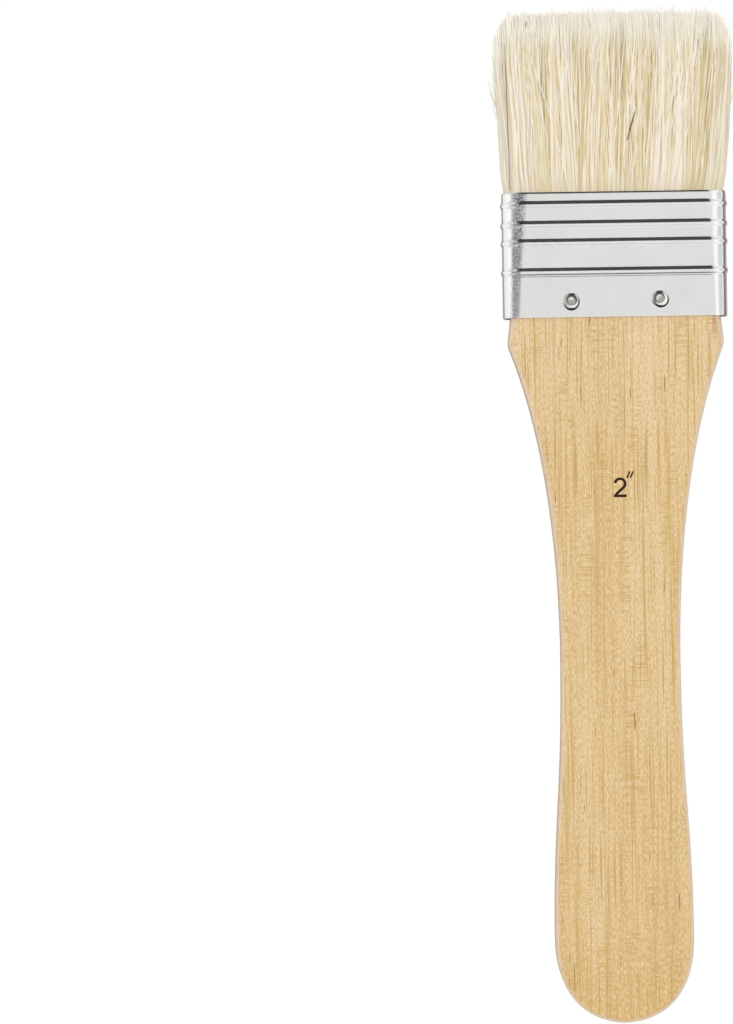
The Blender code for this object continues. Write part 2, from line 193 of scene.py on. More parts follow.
# Hair shades: where a hair is on the row of shades, and on the map from which the shades are baked
OUTER_TONE = 0.28
# Painted shade: hairs deeper inside the bundle are given darker, tanner tones
INNER_PAINTED_SHADE = 0.45
INNER_DEPTH = 1.2 * MM
LOCK_SHADE = 0.15
HAIR_SHADE = 0.3
# Painted light: hairs near the left and right sides are made paler, as if lit
PAINTED_LIGHT_LEFT = (0.8, 3.5 * MM)
PAINTED_LIGHT_RIGHT = (0.15, 2.5 * MM)
# Painted shade: a share of the hairs near each side is set to a greyer cream, as if in shade
PAINTED_SHADE_LEFT = (0.8, 2.2 * MM)
PAINTED_SHADE_RIGHT = (1.0, 2.5 * MM)
PAINTED_SHADE_TONE = 0.02
PALEST_TONE = 0.1
DARKEST_TONE = 0.9
DARK_HAIR_TONE = 0.985
HAIR_COLUMNS = 256
COLUMN_MARGIN = 0.15
ROOT_ON_MAP = 0.08
BAKE_MAP = "OFBake"

# Single dark hairs on the front: radius, then place across and height above the mouth of their foot and tip
DARK_HAIRS = (
    (0.1 * MM, -23.6 * MM, 0.5 * MM, -24.4 * MM, 33.5 * MM),
    (0.2 * MM, 3.1 * MM, 11.5 * MM, 4.9 * MM, 18.0 * MM),
    (0.1 * MM, -19.6 * MM, 37.4 * MM, -19.4 * MM, 38.8 * MM),
)

# Size mark: a numeral and an inch sign, printed on the handle
MARK_PLACE = (-1.1 * MM, 3.7 * MM)
MARK_WIDTH = 2.9 * MM
MARK_HEIGHT = 4.5 * MM
MARK_STROKE = 0.62 * MM
TICK_STROKE = 0.38 * MM
INK_PROUD = 0.02 * MM
BOWL_TURN = (172.0, -28.0)
BOWL_STEPS = 24
NECK_LEAVE = 3.0
NECK_ARRIVE = (0.3 * MM, 0.75 * MM)
NECK_FOOT = 1.2
NECK_PITCH = 0.25 * MM
TICK_STARTS = (0.15 * MM, 0.9 * MM)
TICK_BELOW = 0.15 * MM
TICK_RUN = (0.65 * MM, 1.35 * MM)

# Wood. Colours are linear, a noise is its cells a metre along each axis, detail, roughness and shift, and a
# range is the two values between which a mark comes in
WOOD_GLOSS = {"Specular IOR Level": 0.35, "Coat Weight": 0.08, "Coat Roughness": 0.4}
WOOD_BROAD = ((260.0, 7.0, 260.0), 3.0, 0.55)
WOOD_TONES = ((0.3, (0.70, 0.46, 0.195)), (0.52, (0.79, 0.56, 0.27)), (0.72, (0.84, 0.625, 0.355)))
WOOD_ROUGHNESS = (0.3, 0.7, 0.5, 0.6)
WOOD_BUMP = 0.02 * MM
SPECKLE = ((4600.0, 1100.0, 4600.0), 0.0, 0.5, (5.0, 2.0, 9.0))
SPECKLE_TINTS = (((0.45, 0.7), 0.55, (0.90, 0.725, 0.51)), ((0.5, 0.3), 0.4, (0.60, 0.37, 0.13)))
RAYS = ((230.0, 2300.0, 230.0), 1.0, 0.5, (2.0, 6.0, 4.0))
RAY_RANGE = (0.5, 0.64)
RAY_PATCHES = ((330.0, 60.0, 330.0), 1.0, 0.5, (8.0, 3.0, 1.0))
RAY_PATCH_RANGE = (0.52, 0.64)
RAY_TINT = (0.6, (0.62, 0.40, 0.13))

# Wood's paler upper end and darker lower end: how far each reaches, its most and its colour
PALE_WOOD = (40.0 * MM, 0.6, (0.86, 0.65, 0.40))
DARK_WOOD = (27.0 * MM, 0.6, (0.72, 0.465, 0.17))

# Marks along the grain, in the order in which they are laid on: noise, range, most and colour
WOOD_MARKS = {
    "streak": (((1300.0, 24.0, 1300.0), 2.0, 0.6, (3.0, 1.0, 7.0)), (0.52, 0.68), 0.55, (0.64, 0.40, 0.14)),
    "line": (((3400.0, 42.0, 3400.0), 1.0, 0.5, (1.0, 4.0, 2.0)), (0.56, 0.74), 0.9, (0.58, 0.35, 0.10)),
    "fleck": (((1250.0, 95.0, 1250.0), 1.0, 0.5, (6.0, 9.0, 3.0)), (0.74, 0.78), 0.75, (0.36, 0.17, 0.055)),
}

# Painted light on the handle's rounded edges: ranges by how flat the surface lies, and its most on the left
# and on the right
EDGE_LIGHT_FROM_FACE = (0.985, 0.65)
EDGE_LIGHT_FROM_SIDE = (0.12, 0.45)
EDGE_LIGHT_MOST = (-0.2, 0.2, 0.65, 0.9)
EDGE_LIGHT_TINT = (0.90, 0.75, 0.60)

# Reddish stain under the ferrule's right corner: place across, and ranges to its sides and below
STAIN_ACROSS = 22.2 * MM
STAIN_ASIDE = (0.7 * MM, 0.2 * MM)
STAIN_BELOW = (5.0 * MM, 3.2 * MM)
STAIN_SPECKLED = (0.3, 0.6, 0.15, 0.6)
STAIN_TINT = (0.55, 0.20, 0.11)

# Tinplate
TIN_CLOUD = ((140.0, 140.0, 140.0), 3.0, 0.5)
TIN_TONES = ((0.3, (0.82, 0.815, 0.805)), (0.7, (0.87, 0.865, 0.855)))
# Painted shade: the ferrule's inner side is coloured nearly black
TIN_INSIDE_SHADE = (0.07, 0.065, 0.06)
TIN_ROUGHNESS = (0.6, 0.15)
TIN_SIDES = (-0.5 * MM, 0.5 * MM)
TIN_DIMPLES = ((3600.0, 3600.0, 3600.0), 2.0, 0.55)
TIN_DIMPLE_HEIGHT = 0.05 * MM
TIN_DIMPLED = (12.0 * MM, -20.0 * MM, 0.1, 0.4)

# Painted reflection, a dark mottled patch on the ferrule's left bend: place across, drift to the left down
# the ferrule, and softness
DARK_REFLECTION_LEFT = (-22.6 * MM, 0.05, 0.5 * MM)
DARK_REFLECTION_RIGHT = (-19.9 * MM, 0.09, 0.7 * MM)
DARK_REFLECTION_FADE = (10.0 * MM, 24.0 * MM, 1.0, 0.7)
DARK_REFLECTION_DOTS = ((4300.0, 4300.0, 4300.0), 1.0, 0.5, (4.0, 2.0, 6.0))
DARK_REFLECTION_RANGE = (0.42, 0.6)
DARK_REFLECTION_TINT = (0.22, 0.20, 0.27)

# Nail steel: bright on the dome, dull on the crown, and painted shade round the foot and on the crown's wall
STEEL_GRIME = ((1500.0, 1500.0, 1500.0), 3.0, 0.6)
STEEL_BRIGHT = ((0.3, (0.80, 0.79, 0.78)), (0.7, (0.92, 0.915, 0.91)))
STEEL_DULL = ((0.3, (0.46, 0.44, 0.41)), (0.7, (0.66, 0.64, 0.60)))
STEEL_ROUGHNESS = (0.12, 0.4)
CROWN_FLAT = (0.992, 0.998)
RIM_SHADE_INSIDE = (0.55 * MM, 0.3 * MM)
RIM_SHADE_LEAN = 0.4
RIM_SHADE_BELOW = (-1.2 * MM, 1.2 * MM, 0.3, 1.0)
RIM_SHADE_TINT = (0.05, 0.045, 0.04)
# Painted shade on the wall of the crown's hollow
WALL_SHADE_INWARD = (-0.2 * MM, -0.4 * MM, 0.0, 0.9)
WALL_SHADE_TINT = (0.06, 0.055, 0.05)

# Hair's row of shades, its darker foot and its pale tips, by the height on the hair's map
HAIR_GLOSS = {"Specular IOR Level": 0.35, "Roughness": 0.5}
HAIR_TONES = (
    # painted shade: the greyer cream given to hairs at the sides
    (PAINTED_SHADE_TONE + 0.02, (0.755, 0.70, 0.57)),
    (PALEST_TONE - 0.01, (0.95, 0.885, 0.775)),
    (0.3, (0.86, 0.77, 0.58)),
    (0.6, (0.78, 0.66, 0.41)),
    (DARKEST_TONE, (0.64, 0.495, 0.235)),
    (0.96, (0.15, 0.075, 0.035)),
)
HAIR_FOOT = (0.3, 0.08, 0.0, 0.3)
HAIR_FOOT_TINT = (0.62, 0.50, 0.32)
HAIR_TIP = (0.82, 0.98)
HAIR_TIP_MOST = (0.95, DARKEST_TONE, 0.0, 0.9)
HAIR_TIP_TINT = (0.96, 0.925, 0.825)

# Resin and ink
RESIN_GLOSS = {"Specular IOR Level": 0.5, "Roughness": 0.35}
RESIN_CLOUD = ((400.0, 400.0, 400.0), 3.0, 0.6)
RESIN_TONES = ((0.3, (0.22, 0.14, 0.06)), (0.7, (0.36, 0.25, 0.12)))
RESIN_BUMP = 0.05 * MM
INK_GLOSS = {"Roughness": 0.8, "Specular IOR Level": 0.1}
INK_WEAR = ((3000.0, 3000.0, 3000.0), 2.0, 0.6)
INK_TONES = ((0.35, (0.024, 0.011, 0.008)), (0.75, (0.06, 0.034, 0.024)))

# Studio. The floor's painted shadow strips beside the brush show only in metal: from and to across the
# brush, and how dark
FLOOR_HALF = 6.0
FLOOR_GREY = 0.8
FLOOR_GLOW = 0.8
FLOOR_SEEN = 0.22
FLOOR_SHADOW_STRIPS = ((38.0 * MM, 66.0 * MM, 0.75), (24.0 * MM, 38.0 * MM, 0.55), (-34.0 * MM, -24.0 * MM, 0.6))
FLOOR_SHADOW_SOFT = 1.5 * MM
AMBIENT = 0.36
SUN_STRENGTH = 1.95
SUN_ANGLE = math.radians(7.0)
SUN_TURN = (math.radians(-2.0), math.radians(-4.0), 0.0)

# Cards that only metal shows, by direction: from, to and softness across and along the brush, and how dark
SKY_TONE = 0.87
CARD_LEVEL = (-0.5, 0.5, 0.2)
CARDS = (
    ((-0.3, 0.36, 0.12), (0.46, 0.84, 0.2), 0.93),
    ((-0.7, 0.7, 0.1), (-0.66, -0.4, 0.06), -0.1),
    ((-0.55, 0.55, 0.2), (-1.0, -0.8, 0.06), 0.85),
    ((-0.76, -0.2, 0.08), CARD_LEVEL, 0.4),
    ((-1.0, -0.87, 0.03), CARD_LEVEL, -0.3),
    ((0.62, 0.84, 0.04), CARD_LEVEL, -0.3),
    ((0.9, 1.0, 0.03), CARD_LEVEL, 0.1),
)

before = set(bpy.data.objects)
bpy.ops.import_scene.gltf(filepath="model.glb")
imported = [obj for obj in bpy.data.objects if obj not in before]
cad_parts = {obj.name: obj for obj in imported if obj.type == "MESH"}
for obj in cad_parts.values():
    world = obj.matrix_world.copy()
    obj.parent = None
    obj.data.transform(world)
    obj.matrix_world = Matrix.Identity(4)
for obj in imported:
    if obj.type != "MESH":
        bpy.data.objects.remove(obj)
cad_low, cad_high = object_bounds()
ferrule_low, ferrule_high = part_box("ferrule")
handle_low, handle_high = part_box("handle")
resin_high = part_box("resin_set")[1]
LOW_Y = ferrule_low.y
MOUTH_Y = ferrule_high.y
TIP_Y = cad_high.y
MIDDLE_Z = (handle_low.z + handle_high.z) / 2
HANDLE_HALF_DEPTH = (handle_high.z - handle_low.z) / 2
HANDLE_OUT = LOW_Y - handle_low.y
TANG_LENGTH = handle_high.y - LOW_Y
FERRULE_LENGTH = MOUTH_Y - LOW_Y


# Meshes

def add_piece(name, mesh, material, stands_for=()):
    """A piece of the brush that rides on its one body."""
    piece = bpy.data.objects.new(name, mesh)
    bpy.context.scene.collection.objects.link(piece)
    mesh.materials.append(material)
    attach(piece, BODY)
    if stands_for:
        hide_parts(*stands_for)
    return piece


def loft(name, sections, weld=WELD):
    """A closed mesh through sections, each a closed ring of as many points, with both ends capped."""
    sections = np.asarray(sections, float)
    count, size, _ = sections.shape
    shape = bmesh.new()
    verts = [shape.verts.new(point) for point in sections.reshape(-1, 3)]
    for row in range(count - 1):
        for spot in range(size):
            near = row * size + spot
            side = row * size + (spot + 1) % size
            shape.faces.new((verts[near], verts[side], verts[side + size], verts[near + size]))
    shape.faces.new(verts[:size])
    shape.faces.new(verts[-size:])
    bmesh.ops.remove_doubles(shape, verts=shape.verts, dist=weld)
    bmesh.ops.recalc_face_normals(shape, faces=shape.faces)
    mesh = bpy.data.meshes.new(name)
    shape.to_mesh(mesh)
    shape.free()
    mesh.shade_smooth()
    mesh.set_sharp_from_angle(angle=SHARP_ANGLE)
    return mesh


# Handle

def bezier(start, leave, arrive, end, pitch):
    """Points along one stretch of a Bezier curve, about a pitch apart, without its last."""
    steps = max(2, round(float(np.linalg.norm(end - start)) / pitch))
    share = np.linspace(0.0, 1.0, steps, endpoint=False)[:, None]
    rest = 1.0 - share
    curve = rest**3 * start + 3 * rest**2 * share * leave
    return curve + 3 * rest * share**2 * arrive + share**3 * end


def handle_outline():
    """The right side of the handle's outline, from the tang's end to the handle's end."""
    tang = np.array((TANG_HALF, TANG_LENGTH))
    tang_foot = np.array((TANG_HALF, 0.0))
    shoulder = np.array((SHOULDER[0], -SHOULDER[1]))
    foot = np.array((SHOULDER_FOOT[0], -SHOULDER_FOOT[1]))
    waist = np.array((WAIST[0], -WAIST[1]))
    bulb = np.array((BULB[0], -BULB[1]))
    end = np.array((0.0, -HANDLE_OUT))
    slope = np.array((-SHOULDER_SLOPE, -1.0))
    down = np.array((0.0, -1.0))
    across = np.array((1.0, 0.0))
    stretches = (
        (tang, tang, tang_foot, tang_foot),
        (tang_foot, tang_foot, shoulder, shoulder),
        (shoulder, shoulder + down * SHOULDER_ROUND, foot - slope * SHOULDER_ROUND, foot),
        (foot, foot + slope * SHOULDER_REACH, waist - down * WAIST_REACH_UP, waist),
        (waist, waist + down * WAIST_REACH_DOWN, bulb - down * BULB_REACH_UP, bulb),
        (bulb, bulb + down * BULB_REACH_DOWN, end + across * END_REACH, end),
    )
    runs = [bezier(*stretch, OUTLINE_PITCH) for stretch in stretches]
    return np.vstack(runs + [end])


def outward(points):
    """Unit normals of the outline's right side, square to the axis at the handle's end."""
    along = np.gradient(points, axis=0)
    normals = np.stack((-along[:, 1], along[:, 0]), axis=1)
    normals[-1] = (0.0, -1.0)
    return normals / np.linalg.norm(normals, axis=1, keepdims=True)


def handle_section(point, normal):
    """A ring round the handle at one place of its outline: up the right side and down the left."""
    below = np.clip(-point[1] / SHOULDER_FOOT[1], 0.0, 1.0)
    edge = TANG_EDGE + (HANDLE_EDGE - TANG_EDGE) * below
    lower = np.linspace(-QUARTER_TURN, 0.0, EDGE_STEPS + 1)
    angles = np.concatenate((lower, -lower[::-1]))
    inset = edge * (1.0 - np.cos(angles))
    side = np.where(np.arange(len(angles)) > EDGE_STEPS, 1.0, -1.0)
    heights = side * (HANDLE_HALF_DEPTH - edge) + edge * np.sin(angles)
    right = np.stack((point[0] - normal[0] * inset, point[1] - normal[1] * inset, heights), axis=1)
    left = (right * (-1.0, 1.0, 1.0))[::-1]
    share = np.linspace(0.0, 1.0, FACE_COLUMNS, endpoint=False)[1:, None]
    top = right[-1] * (1.0 - share) + left[0] * share
    bottom = left[-1] * (1.0 - share) + right[0] * share
    return np.vstack((right, top, left, bottom)) + (0.0, LOW_Y, MIDDLE_Z)


def build_handle(material):
    """The plank with its shaped outline and rounded edges."""
    points = handle_outline()
    sections = [handle_section(point, normal) for point, normal in zip(points, outward(points))]
    mesh = loft("handle_plank", sections, HANDLE_WELD)
    return add_piece("handle_plank", mesh, material, ("handle",))


# Ferrule

def run(start, end, steps):
    """Points on a straight line, without the last."""
    share = np.linspace(0.0, 1.0, steps, endpoint=False)[:, None]
    return np.array(start) * (1.0 - share) + np.array(end) * share


def ferrule_path(corner):
    """The strip's middle line across the brush: from under the lap, round the corners, and over itself."""
    half_depth = (FERRULE_DEPTH - SHEET) / 2
    across = corner - SHEET / 2
    deep = CORNER_DEEP - SHEET / 2
    x = (FERRULE_WIDTH - SHEET) / 2 - across
    z = half_depth - deep
    half_lap = LAP_LENGTH / 2
    over = half_depth + LAP_STEP
    corners = []
    for centre, start in (((x, -z), -90), ((x, z), 0), ((-x, z), 90), ((-x, -z), 180)):
        angles = np.radians(start) + np.linspace(0.0, QUARTER_TURN, CORNER_STEPS + 1)
        corners.append(np.stack((centre[0] + across * np.cos(angles), centre[1] + deep * np.sin(angles)), 1))
    under = (-half_lap, -half_depth)
    joggle = (-half_lap - LAP_JOGGLE, -half_depth)
    step_over = (-half_lap, -over)
    end = (half_lap, -over)
    runs = [run(under, corners[0][0], FACE_STEPS // 2), corners[0][:-1]]
    runs += [run(corners[0][-1], corners[1][0], SIDE_STEPS), corners[1][:-1]]
    runs += [run(corners[1][-1], corners[2][0], FACE_STEPS), corners[2][:-1]]
    runs += [run(corners[2][-1], corners[3][0], SIDE_STEPS), corners[3][:-1]]
    runs += [run(corners[3][-1], joggle, FACE_STEPS // 2), run(joggle, step_over, LAP_STEPS)]
    runs += [run(step_over, end, LAP_STEPS), np.array([end])]
    return np.vstack(runs)


def bead_out(depth):
    """How far the sheet stands out at a distance from its mouth: turned-in edge, beads and their grooves."""
    out = -MOUTH_TURN_IN * np.clip(1.0 - depth / MOUTH_TURN, 0.0, 1.0) ** 2
    for crest, groove in zip(BEAD_CRESTS, GROOVE_DEPTHS):
        bead = (crest, BEAD_WIDTH, BEAD_HEIGHT)
        foot = (crest + GROOVE_OFFSET, GROOVE_WIDTH, -groove)
        for centre, width, height in (bead, foot):
            along = np.clip((depth - centre) / width, -0.5, 0.5)
            out += height * 0.5 * (1.0 + np.cos(2.0 * np.pi * along))
    return out


def sheet_levels():
    """Distances from the mouth at which the sheet is drawn: close together over the beads."""
    coarse = np.arange(SHEET / 2, FERRULE_LENGTH - SHEET / 2, SHEET_PITCH)
    over_bead = np.arange(-BEAD_WIDTH / 2, GROOVE_OFFSET + GROOVE_WIDTH / 2, BEAD_PITCH)
    beads = [over_bead + crest for crest in BEAD_CRESTS]
    beads.append(np.arange(SHEET / 2, MOUTH_TURN, BEAD_PITCH))
    clear = [level for level in coarse if all(np.abs(level - bead).min() > BEAD_PITCH for bead in beads)]
    return np.sort(np.concatenate(beads + [clear, [FERRULE_LENGTH - SHEET / 2]]))


def build_ferrule(material):
    """The beaded strip, with tighter corners at its foot, dented a little where the nails were driven."""
    half = SHEET / 2
    levels = sheet_levels()
    share = (levels / FERRULE_LENGTH)[None, :, None]
    at_mouth = ferrule_path(CORNER_AT_MOUTH)[:, None]
    at_foot = ferrule_path(CORNER_AT_FOOT)[:, None]
    path = at_mouth * (1.0 - share) + at_foot * share
    along = np.gradient(path, axis=0)
    normals = np.stack((along[..., 1], -along[..., 0]), 2)
    normals /= np.linalg.norm(normals, axis=2, keepdims=True)
    beads = bead_out(levels)
    rim = np.linspace(-QUARTER_TURN, QUARTER_TURN, RIM_STEPS + 1)[1:-1]
    round_rim = half * np.cos(rim)
    foot = np.full(len(rim), len(levels) - 1)
    order = np.concatenate((np.arange(len(levels)), foot, np.arange(len(levels))[::-1], np.zeros_like(foot)))
    depth = np.concatenate((levels, levels[-1] + round_rim, levels[::-1], levels[0] - round_rim))
    sections = []
    for spots, outs in zip(path, normals):
        out = beads - nail_dents(spots[-1], levels)
        ends = (out[-1] - half * np.sin(rim), out[0] + half * np.sin(rim))
        stand = np.concatenate((out + half, ends[0], out[::-1] - half, ends[1]))
        flat = spots[order] + outs[order] * stand[:, None]
        sections.append(np.stack((flat[:, 0], MOUTH_Y - depth, MIDDLE_Z + flat[:, 1]), 1))
    mesh = loft("ferrule_strip", sections)
    return add_piece("ferrule_strip", mesh, material, ("ferrule",))


def nail_dents(spot, levels):
    """How far the sheet is pressed in round the nails on its own side."""
    pressed = np.zeros_like(levels)
    for name in NAIL_CROWN_SHIFTS:
        low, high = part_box(name)
        centre = (low + high) / 2
        if (centre.z - MIDDLE_Z) * spot[1] > 0.0:
            distance = np.hypot(spot[0] - centre.x, MOUTH_Y - levels - centre.y)
            pressed += DENT_DEPTH * np.exp(-((distance / DENT_RADIUS) ** 2))
    return pressed


# Nails

def nail_profile():
    """A nail's outer side from the middle of its crown, over its dome and down to its point."""
    floor = NAIL_HEAD_HEIGHT - NAIL_CROWN_SINK
    lip = NAIL_LIP_RADIUS
    bend = (NAIL_HEAD_RADIUS - lip) / (math.sin(NAIL_DOME_STEEP) - math.sin(NAIL_DOME_LOW))
    points = [(0.0, floor), (NAIL_CROWN_RADIUS, floor)]
    for angle in np.linspace(NAIL_DOME_LOW, NAIL_DOME_STEEP, NAIL_DOME_STEPS):
        radius = lip + bend * (math.sin(angle) - math.sin(NAIL_DOME_LOW))
        points.append((radius, NAIL_HEAD_HEIGHT - bend * (math.cos(NAIL_DOME_LOW) - math.cos(angle))))
    points.append((NAIL_HEAD_RADIUS, 0.0))
    points.append((NAIL_SHANK_RADIUS, 0.0))
    points.append((NAIL_SHANK_RADIUS, NAIL_POINT - NAIL_LENGTH))
    points.append((0.0, -NAIL_LENGTH))
    return points


def build_nail(name, shift, material):
    """One nail, with its head where the frame has it and its crown knocked aside."""
    low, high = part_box(name)
    front = low.z + high.z > 2 * MIDDLE_Z
    up = 1.0 if front else -1.0
    seat = high.z - NAIL_HEAD_HEIGHT if front else low.z + NAIL_HEAD_HEIGHT
    turns = np.linspace(0.0, 2.0 * np.pi, NAIL_SIDES, endpoint=False)
    rings = []
    for radius, height in nail_profile():
        risen = max(0.0, height / NAIL_HEAD_HEIGHT)
        x = radius * np.cos(turns) + shift[0] * risen
        y = radius * np.sin(turns) + shift[1] * risen
        rings.append(np.stack((x, y, np.full(NAIL_SIDES, up * height)), 1))
    mesh = loft("turned_" + name, rings)
    piece = add_piece("turned_" + name, mesh, material, (name,))
    piece.location = ((low.x + high.x) / 2, (low.y + high.y) / 2, seat)
    return piece


# Hair

def packing(pitch, side, draw):
    """Places in one half of the ferrule's mouth, in a shaken hexagonal packing inside its round corners."""
    depths = np.arange(MOUTH_INNER, MOUTH_HALF_DEPTH, pitch * math.sqrt(3.0) / 2)
    columns = np.arange(-MOUTH_HALF_WIDTH, MOUTH_HALF_WIDTH, pitch)
    x, z = np.meshgrid(columns, depths)
    x = x + np.where(np.arange(len(depths)) % 2, pitch / 2, 0.0)[:, None]
    x = x + draw.normal(0.0, pitch / 4, x.shape)
    z = np.abs(z + draw.normal(0.0, pitch / 4, z.shape))
    past_x = np.maximum(0.0, np.abs(x) - (MOUTH_HALF_WIDTH - MOUTH_CORNER))
    past_z = np.maximum(0.0, z - (MOUTH_HALF_DEPTH - MOUTH_CORNER))
    inside = np.hypot(past_x, past_z) < MOUTH_CORNER
    return np.stack((x[inside], side * z[inside]), 1)


def lock_numbers(places, locks):
    """The number of the lock nearest to each hair."""
    gaps = places[:, None, :] - locks[None, :, :]
    return np.argmin((gaps**2).sum(2), axis=1)


def fan(height):
    """How far the bundle has spread across and swelled at heights above the mouth, as factors."""
    rise = np.clip(height / BELLY_HEIGHT, 0.0, 1.0)
    fall = np.clip((height - BELLY_HEIGHT) / (TIP_Y - MOUTH_Y - BELLY_HEIGHT), 0.0, 1.0)
    bulge = MOUTH_BULGE * (1.0 - np.exp(-height / MOUTH_BULGE_HEIGHT))
    spread = 1.0 + bulge + BELLY_SPREAD * rise - TIP_DRAW * fall**2
    swell = 1.0 + BELLY_SWELL * np.sin(rise * QUARTER_TURN) - TIP_THIN * fall**2
    return spread, swell


def hair_lengths(tip_x, ragged, draw):
    """Each hair's length past the mouth: shorter towards the sides, and ragged by locks and single hairs."""
    count = len(tip_x)
    across = np.minimum(np.abs(tip_x) / (MOUTH_HALF_WIDTH * TIP_SPREAD), TIP_ACROSS_MOST)
    drop = TIP_CROWN * across**2 + TIP_CORNER_DROP * across**TIP_CORNER_CURVE
    ragged = TIP_BODY + ragged + np.abs(draw.normal(0.0, TIP_RAGGED, count))
    ragged += np.where(draw.random(count) < SHORT_SHARE, draw.uniform(0.0, SHORT_BY, count), 0.0)
    ragged = np.where(draw.random(count) < LONG_SHARE, draw.uniform(0.0, TIP_BODY, count), ragged)
    return TIP_Y - MOUTH_Y - drop - ragged


def hair_lines(places, locks, lock, draw):
    """The hairs' middle lines: points for each hair from its root in the resin to its tip."""
    count = len(places)
    x, z = places.T
    outer = (np.abs(locks[:, 1]) / MOUTH_HALF_DEPTH) ** 2
    lock_lean = draw.normal(0.0, 1.0, len(locks)) * (LOCK_LEAN + (OUTER_LOCK_LEAN - LOCK_LEAN) * outer)
    lean = lock_lean[lock] + draw.normal(0.0, HAIR_LEAN, count)
    stray = draw.random(count) < STRAY_SHARE
    lean = lean + np.where(stray, draw.normal(0.0, STRAY_LEAN, count), 0.0)
    edge = (np.abs(x) / MOUTH_HALF_WIDTH) ** EDGE_CURVE
    lean *= 1.0 - edge
    lock_ragged = np.abs(draw.normal(0.0, LOCK_RAGGED, len(locks)))[lock]
    length = hair_lengths(x * TIP_SPREAD + lean, lock_ragged, draw)
    bow = draw.normal(0.0, HAIR_BOW, count)
    gather = draw.uniform(0.0, LOCK_GATHER, len(locks))[lock]
    loose = draw.random(count) < LOOSE_SHARE
    pull = np.where(loose, 0.0, EDGE_PULL * draw.uniform(*PULL_VARIES, count))
    pull *= -np.sign(x) * edge
    slack = np.where(x < 0.0, LEFT_SLACK * (x / MOUTH_HALF_WIDTH) ** 2, 0.0)
    lines = np.empty((count, len(HAIR_LEVELS) + 1, 3))
    inner_share = (np.abs(z) - MOUTH_INNER) / (MOUTH_HALF_DEPTH - MOUTH_INNER)
    lines[:, 0, 0] = x * ROOT_NARROWER
    lines[:, 0, 1] = resin_high.y - ROOT_SUNK
    lines[:, 0, 2] = np.sign(z) * (ROOT_INNER + inner_share * (ROOT_OUTER - ROOT_INNER))
    for level, share in enumerate(HAIR_LEVELS, start=1):
        height = share * length
        spread, swell = fan(height)
        drawn = gather * math.sin(math.pi * share)
        at_x = x + (locks[lock, 0] - x) * drawn
        at_z = z + (locks[lock, 1] - z) * drawn * DEPTH_GATHER
        lines[:, level, 0] = at_x * spread + lean * share**LEAN_CURVE + bow * math.sin(math.pi * share)
        lines[:, level, 0] += pull * share**2
        lines[:, level, 0] += slack * np.sin(np.pi * np.minimum(height / BELLY_HEIGHT, 1.0))
        lines[:, level, 1] = MOUTH_Y + height
        lines[:, level, 2] = at_z * swell
    lines[:, :, 0] = np.clip(lines[:, :, 0], -HAIR_LIMIT_X, HAIR_LIMIT_X)
    lines[:, :, 2] = np.clip(lines[:, :, 2], -HAIR_LIMIT_Z, HAIR_LIMIT_Z) + MIDDLE_Z
    return lines


def dark_hair_lines(levels):
    """The single dark hairs, lying on the front of the bundle."""
    lines = []
    for _, foot_x, foot_height, tip_x, tip_height in DARK_HAIRS:
        share = np.linspace(0.0, 1.0, levels)
        height = foot_height + (tip_height - foot_height) * share
        depth = MOUTH_HALF_DEPTH * fan(height)[1]
        x = foot_x + (tip_x - foot_x) * share
        lines.append(np.stack((x, MOUTH_Y + height, MIDDLE_Z + depth), 1))
    return np.array(lines)


def hair_tones(places, locks, lock, draw):
    """Each hair's shade on the row: cream with painted shade at 0, then white over cream and tan to dark
    brown at 1.
    """
    count = len(places)
    past_x = np.maximum(0.0, np.abs(places[:, 0]) - (MOUTH_HALF_WIDTH - MOUTH_CORNER))
    past_z = np.maximum(0.0, np.abs(places[:, 1]) - (MOUTH_HALF_DEPTH - MOUTH_CORNER))
    inward = MOUTH_CORNER - np.hypot(past_x, past_z)
    # painted shade: tone darkens with a hair's depth inside the bundle
    tone = OUTER_TONE + INNER_PAINTED_SHADE * np.clip(inward / INNER_DEPTH, 0.0, 1.0)
    # painted light: hairs are made paler towards both sides
    for way, (paler, reach) in ((1.0, PAINTED_LIGHT_LEFT), (-1.0, PAINTED_LIGHT_RIGHT)):
        tone -= paler * np.exp(-(MOUTH_HALF_WIDTH + way * places[:, 0]) / reach)
    tone += draw.normal(0.0, LOCK_SHADE, len(locks))[lock] + draw.normal(0.0, HAIR_SHADE, count)
    tone = np.clip(tone, PALEST_TONE, DARKEST_TONE)
    # painted shade: some hairs near each side get the greyer shaded cream
    for way, (most, reach) in ((1.0, PAINTED_SHADE_LEFT), (-1.0, PAINTED_SHADE_RIGHT)):
        share = most * np.exp(-(MOUTH_HALF_WIDTH + way * places[:, 0]) / reach)
        tone = np.where(draw.random(count) < share, PAINTED_SHADE_TONE, tone)
    return tone


